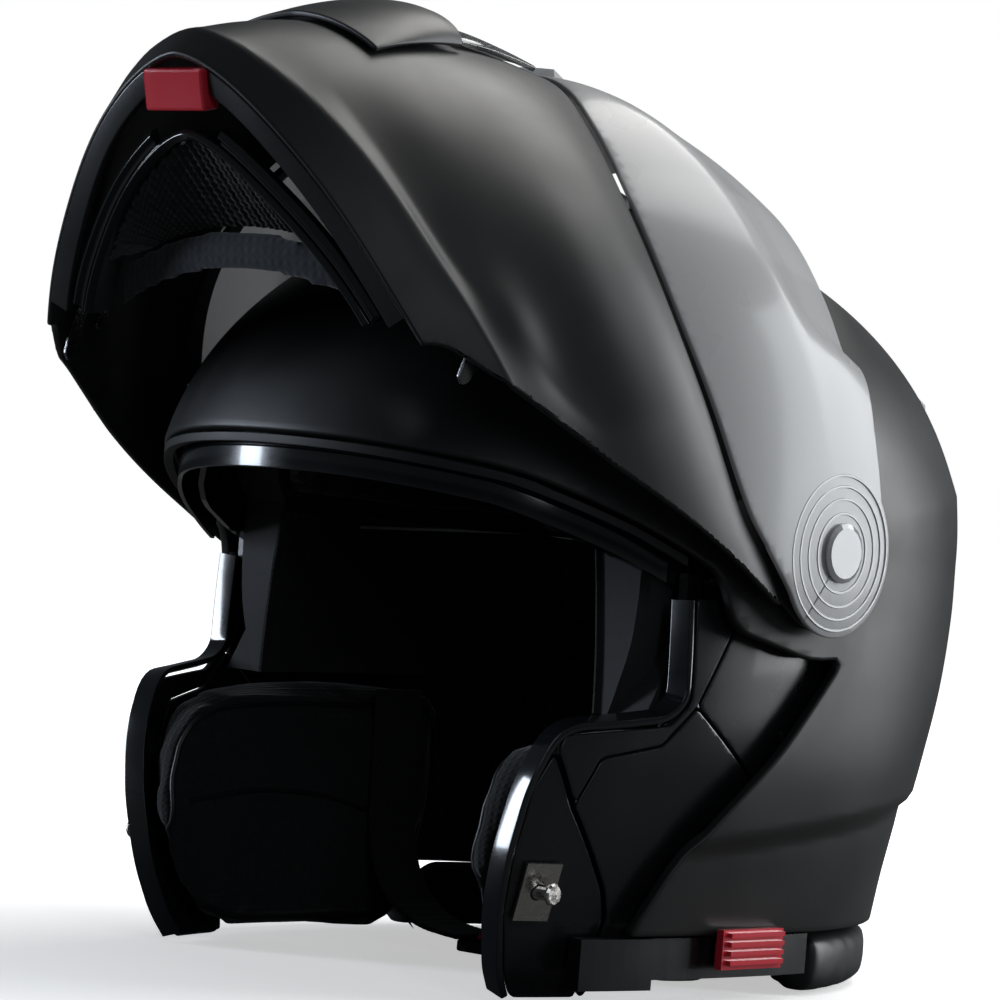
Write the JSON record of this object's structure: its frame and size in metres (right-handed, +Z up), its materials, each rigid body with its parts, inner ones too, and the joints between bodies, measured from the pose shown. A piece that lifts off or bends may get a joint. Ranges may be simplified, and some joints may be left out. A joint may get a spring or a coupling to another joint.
{
  "type": "flip-up motorcycle helmet",
  "caption": "Full-size flip-up motorcycle helmet standing with its chin bar and clear visor raised; padded liner, drop-down sun visor, vents and strap.",
  "frame": {"origin": "centre of the bounding box in X and Y, at the lowest point of the cheek pads and neck roll, in the pose with the chin bar raised", "axes": "+Z up, -Y the way the wearer faces, +X the wearer's left"},
  "size_m": [0.2508, 0.3493, 0.3073],
  "materials": {
    "outer_shell": "matt black painted composite shell",
    "chin_bar_shell": "matt black painted chin bar",
    "visor": "clear polycarbonate visor",
    "visor_tab": "clear lift tab",
    "visor_ratchet_left": "grey ratchet plate",
    "visor_ratchet_right": "grey ratchet plate",
    "pivot_screw_left": "dark steel shoulder screw",
    "pivot_screw_right": "dark steel shoulder screw",
    "eps_liner": "expanded polystyrene impact foam",
    "crown_pad": "padded crown liner",
    "cheek_pad_left": "padded cheek liner",
    "cheek_pad_right": "padded cheek liner",
    "neck_roll": "padded neck roll",
    "side_cover_left": "satin black inner side panel",
    "side_cover_right": "satin black inner side panel",
    "port_trim_left": "satin black edge trim",
    "port_trim_right": "satin black edge trim",
    "visor_guide_left": "ribbed guide",
    "visor_guide_right": "ribbed guide",
    "striker_plate_left": "steel plate",
    "striker_plate_right": "steel plate",
    "striker_pin_left": "bright steel headed pin",
    "striker_pin_right": "bright steel headed pin",
    "brow_seal": "soft sealing lip",
    "brow_rim": "satin black rim",
    "brow_plate": "satin black plate",
    "brow_vent_mesh_left": "perforated vent cover",
    "brow_vent_mesh_right": "perforated vent cover",
    "sun_visor": "smoked polycarbonate",
    "sun_visor_pin_left": "steel pin",
    "sun_visor_pin_right": "steel pin",
    "sun_visor_slider": "red ribbed slider",
    "sun_visor_cable": "sheathed cable",
    "lower_rail_left": "satin black edge rail",
    "lower_rail_right": "satin black edge rail",
    "slider_housing": "satin black slider housing",
    "rear_spoiler": "satin black spoiler",
    "top_vent_base": "satin black vent hood",
    "top_vent_slider": "satin black vent shutter",
    "strap_left": "woven strap",
    "strap_right": "woven strap",
    "strap_buckle": "dark steel buckle",
    "buckle_lever": "red release lever",
    "buckle_tongue": "toothed tongue",
    "chin_lip_trim_left": "satin black lip trim",
    "chin_lip_trim_right": "satin black lip trim",
    "chin_inner_frame": "glossy ridged inner frame",
    "visor_seal": "soft sealing strip",
    "chin_mesh": "mesh panel",
    "chin_curtain": "padded chin curtain band",
    "chin_vent_cover": "matt black vent scoop",
    "chin_vent_lens": "smoked vent panel",
    "release_button": "red release button",
    "latch_hook_left": "steel latch hook",
    "latch_hook_right": "steel latch hook"
  },
  "bodies": {
    "shell": {"outer_shell": "outer_shell", "pivot_screw_left": "pivot_screw_left", "pivot_screw_right": "pivot_screw_right", "eps_liner": "eps_liner", "crown_pad": "crown_pad", "cheek_pad_left": "cheek_pad_left", "cheek_pad_right": "cheek_pad_right", "neck_roll": "neck_roll", "side_cover_left": "side_cover_left", "side_cover_right": "side_cover_right", "port_trim_left": "port_trim_left", "port_trim_right": "port_trim_right", "visor_guide_left": "visor_guide_left", "visor_guide_right": "visor_guide_right", "striker_plate_left": "striker_plate_left", "striker_plate_right": "striker_plate_right", "striker_pin_left": "striker_pin_left", "striker_pin_right": "striker_pin_right", "brow_seal": "brow_seal", "brow_rim": "brow_rim", "brow_plate": "brow_plate", "brow_vent_mesh_left": "brow_vent_mesh_left", "brow_vent_mesh_right": "brow_vent_mesh_right", "sun_visor_pin_left": "sun_visor_pin_left", "sun_visor_pin_right": "sun_visor_pin_right", "sun_visor_cable": "sun_visor_cable", "lower_rail_left": "lower_rail_left", "lower_rail_right": "lower_rail_right", "slider_housing": "slider_housing", "rear_spoiler": "rear_spoiler", "top_vent_base": "top_vent_base", "strap_left": "strap_left", "strap_right": "strap_right", "strap_buckle": "strap_buckle", "buckle_tongue": "buckle_tongue"},
    "chin_bar": {"chin_bar_shell": "chin_bar_shell", "chin_lip_trim_left": "chin_lip_trim_left", "chin_lip_trim_right": "chin_lip_trim_right", "chin_inner_frame": "chin_inner_frame", "chin_mesh": "chin_mesh", "chin_curtain": "chin_curtain", "visor_seal": "visor_seal", "visor_ratchet_left": "visor_ratchet_left", "visor_ratchet_right": "visor_ratchet_right", "chin_vent_lens": "chin_vent_lens"},
    "visor": {"visor": "visor", "visor_tab": "visor_tab"},
    "release_button": {"release_button": "release_button"},
    "latch_hooks": {"latch_hook_left": "latch_hook_left", "latch_hook_right": "latch_hook_right"},
    "chin_vent_cover": {"chin_vent_cover": "chin_vent_cover"},
    "sun_visor": {"sun_visor": "sun_visor"},
    "sun_visor_slider": {"sun_visor_slider": "sun_visor_slider"},
    "top_vent_slider": {"top_vent_slider": "top_vent_slider"},
    "buckle_lever": {"buckle_lever": "buckle_lever"}
  },
  "joints": [
    {"name": "chin_bar_hinge", "type": "hinge", "parent": "shell", "child": "chin_bar", "pos_m": [0, 0.01565, 0.145], "axis": [-1, 0, 0], "range_deg": [-76, 0]},
    {"name": "visor_hinge", "type": "hinge", "parent": "chin_bar", "child": "visor", "pos_m": [0, 0.01565, 0.145], "axis": [-1, 0, 0], "range_deg": [0, 12]},
    {"name": "release_button_slide", "type": "slide", "parent": "chin_bar", "child": "release_button", "axis": [0, 0.9703, 0.2419], "range_m": [0, 0.0025]},
    {"name": "latch_hinge", "type": "hinge", "parent": "chin_bar", "child": "latch_hooks", "pos_m": [0, -0.10667, 0.20695], "axis": [1, 0, 0], "range_deg": [0, 10]},
    {"name": "chin_vent_slide", "type": "slide", "parent": "chin_bar", "child": "chin_vent_cover", "axis": [0, -0.9896, -0.1442], "range_m": [0, 0.004]},
    {"name": "sun_visor_slide", "type": "slide", "parent": "shell", "child": "sun_visor_slider", "axis": [0, -1, 0], "range_m": [0, 0.02]},
    {"name": "sun_visor_hinge", "type": "hinge", "parent": "shell", "child": "sun_visor", "pos_m": [0, -0.01035, 0.133], "axis": [1, 0, 0], "range_deg": [0, 42]},
    {"name": "top_vent_slide", "type": "slide", "parent": "shell", "child": "top_vent_slider", "axis": [0, 1, 0], "range_m": [0, 0.006]},
    {"name": "buckle_lever_hinge", "type": "hinge", "parent": "shell", "child": "buckle_lever", "pos_m": [0.0135, 0.01965, 0.0075], "axis": [0, 1, 0], "range_deg": [0, 60]}
  ],
  "couplings": [
    {"joint": "sun_visor_hinge", "follows": "sun_visor_slide", "rad_per_m": 36.652},
    {"joint": "latch_hinge", "follows": "release_button_slide", "rad_per_m": 69.813}
  ]
}
